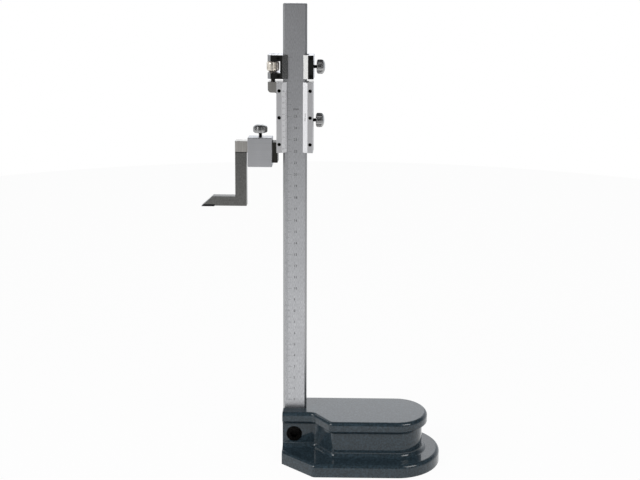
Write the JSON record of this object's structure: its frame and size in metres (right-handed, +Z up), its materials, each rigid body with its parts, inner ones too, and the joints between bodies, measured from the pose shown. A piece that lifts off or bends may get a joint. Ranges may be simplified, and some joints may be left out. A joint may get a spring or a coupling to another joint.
{
  "type": "vernier height gauge",
  "caption": "Vernier height gauge: painted cast base with a grip waist, flat graduated column, slider with fine-adjustment carriage, and an offset scriber held in a clamp box.",
  "frame": {"origin": "on the resting face of the base, under the centre of the column", "axes": "+X along the base to its round end, +Y to the rear, +Z up the column"},
  "size_m": [0.2063, 0.0756, 0.396],
  "materials": {
    "base_paint": "glossy slate-blue hammertone paint on cast iron",
    "column_chrome": "satin chrome",
    "slider_chrome": "satin chrome",
    "plate_chrome": "matt chrome",
    "carriage_steel": "ground steel",
    "carriage_black": "polished black-reflecting chrome",
    "black_oxide": "black oxide",
    "gib_steel": "spring steel",
    "pad_brass": "plain brass",
    "nickel": "nickel plate",
    "rod_steel": "turned steel",
    "arm_steel": "ground dark steel",
    "box_chrome": "satin chrome",
    "scriber_steel": "ground tool steel",
    "carbide": "ground carbide"
  },
  "bodies": {
    "base": {"base_casting": "base_paint", "column": "column_chrome", "column_clamp_screw": "black_oxide"},
    "carriage": {"carriage_body": "carriage_steel", "carriage_left_plate": "carriage_black", "carriage_right_plate": "carriage_black", "carriage_left_screws": "black_oxide", "carriage_right_screws": "black_oxide", "carriage_gib": "gib_steel"},
    "carriage_shoe": {"carriage_clamp_shoe": "pad_brass"},
    "carriage_screw": {"carriage_clamp_screw": "nickel"},
    "nut": {"fine_adjust_nut": "nickel"},
    "slider": {"slider_body": "slider_chrome", "vernier_plate": "plate_chrome", "cover_plate": "plate_chrome", "vernier_plate_screws": "black_oxide", "cover_plate_screws": "black_oxide", "slider_gib": "gib_steel", "fine_adjust_rod": "rod_steel", "rod_lock_screw": "black_oxide", "jaw_arm": "arm_steel", "jaw_arm_screws": "black_oxide"},
    "slider_shoe": {"slider_clamp_shoe": "pad_brass"},
    "slider_screw": {"slider_clamp_screw": "nickel"},
    "box": {"clamp_box": "box_chrome"},
    "scriber_shoe": {"scriber_clamp_shoe": "pad_brass"},
    "scriber_screw": {"scriber_clamp_screw": "nickel"},
    "scriber": {"scriber": "scriber_steel", "scriber_tip": "carbide"}
  },
  "joints": [
    {"name": "carriage_slide", "type": "slide", "parent": "base", "child": "carriage", "axis": [0, 0, 1], "range_m": [-0.2195, 0.0275]},
    {"name": "fine_adjust_turn", "type": "hinge", "parent": "carriage", "child": "nut", "pos_m": [-0.01885, 0.0015, 0.34295], "axis": [0, 0, 1], "range_deg": [-772, 1544]},
    {"name": "slider_fine_slide", "type": "slide", "parent": "carriage", "child": "slider", "axis": [0, 0, 1], "range_m": [-0.003, 0.0015]},
    {"name": "carriage_clamp_travel", "type": "slide", "parent": "carriage", "child": "carriage_shoe", "axis": [1, 0, 0], "range_m": [0, 0.001]},
    {"name": "carriage_clamp_turn", "type": "hinge", "parent": "carriage_shoe", "child": "carriage_screw", "pos_m": [0.0115, 0, 0.34295], "axis": [1, 0, 0], "range_deg": [0, 720]},
    {"name": "slider_clamp_travel", "type": "slide", "parent": "slider", "child": "slider_shoe", "axis": [1, 0, 0], "range_m": [0, 0.001]},
    {"name": "slider_clamp_turn", "type": "hinge", "parent": "slider_shoe", "child": "slider_screw", "pos_m": [0.0115, 0, 0.2975], "axis": [1, 0, 0], "range_deg": [0, 720]},
    {"name": "box_slide", "type": "slide", "parent": "slider", "child": "box", "axis": [-1, 0, 0], "range_m": [0, 0.008]},
    {"name": "scriber_clamp_travel", "type": "slide", "parent": "box", "child": "scriber_shoe", "axis": [0, 0, 1], "range_m": [0, 0.001]},
    {"name": "scriber_clamp_turn", "type": "hinge", "parent": "scriber_shoe", "child": "scriber_screw", "pos_m": [-0.02955, 0, 0.27935], "axis": [0, 0, 1], "range_deg": [0, 720]},
    {"name": "scriber_slide", "type": "slide", "parent": "box", "child": "scriber", "axis": [-1, 0, 0], "range_m": [0, 0.01]}
  ],
  "couplings": [
    {"joint": "fine_adjust_turn", "follows": "slider_fine_slide", "rad_per_m": -8976},
    {"joint": "carriage_clamp_travel", "follows": "carriage_clamp_turn", "m_per_rad": 0.000079577},
    {"joint": "slider_clamp_travel", "follows": "slider_clamp_turn", "m_per_rad": 0.000079577},
    {"joint": "scriber_clamp_travel", "follows": "scriber_clamp_turn", "m_per_rad": 0.000079577}
  ]
}
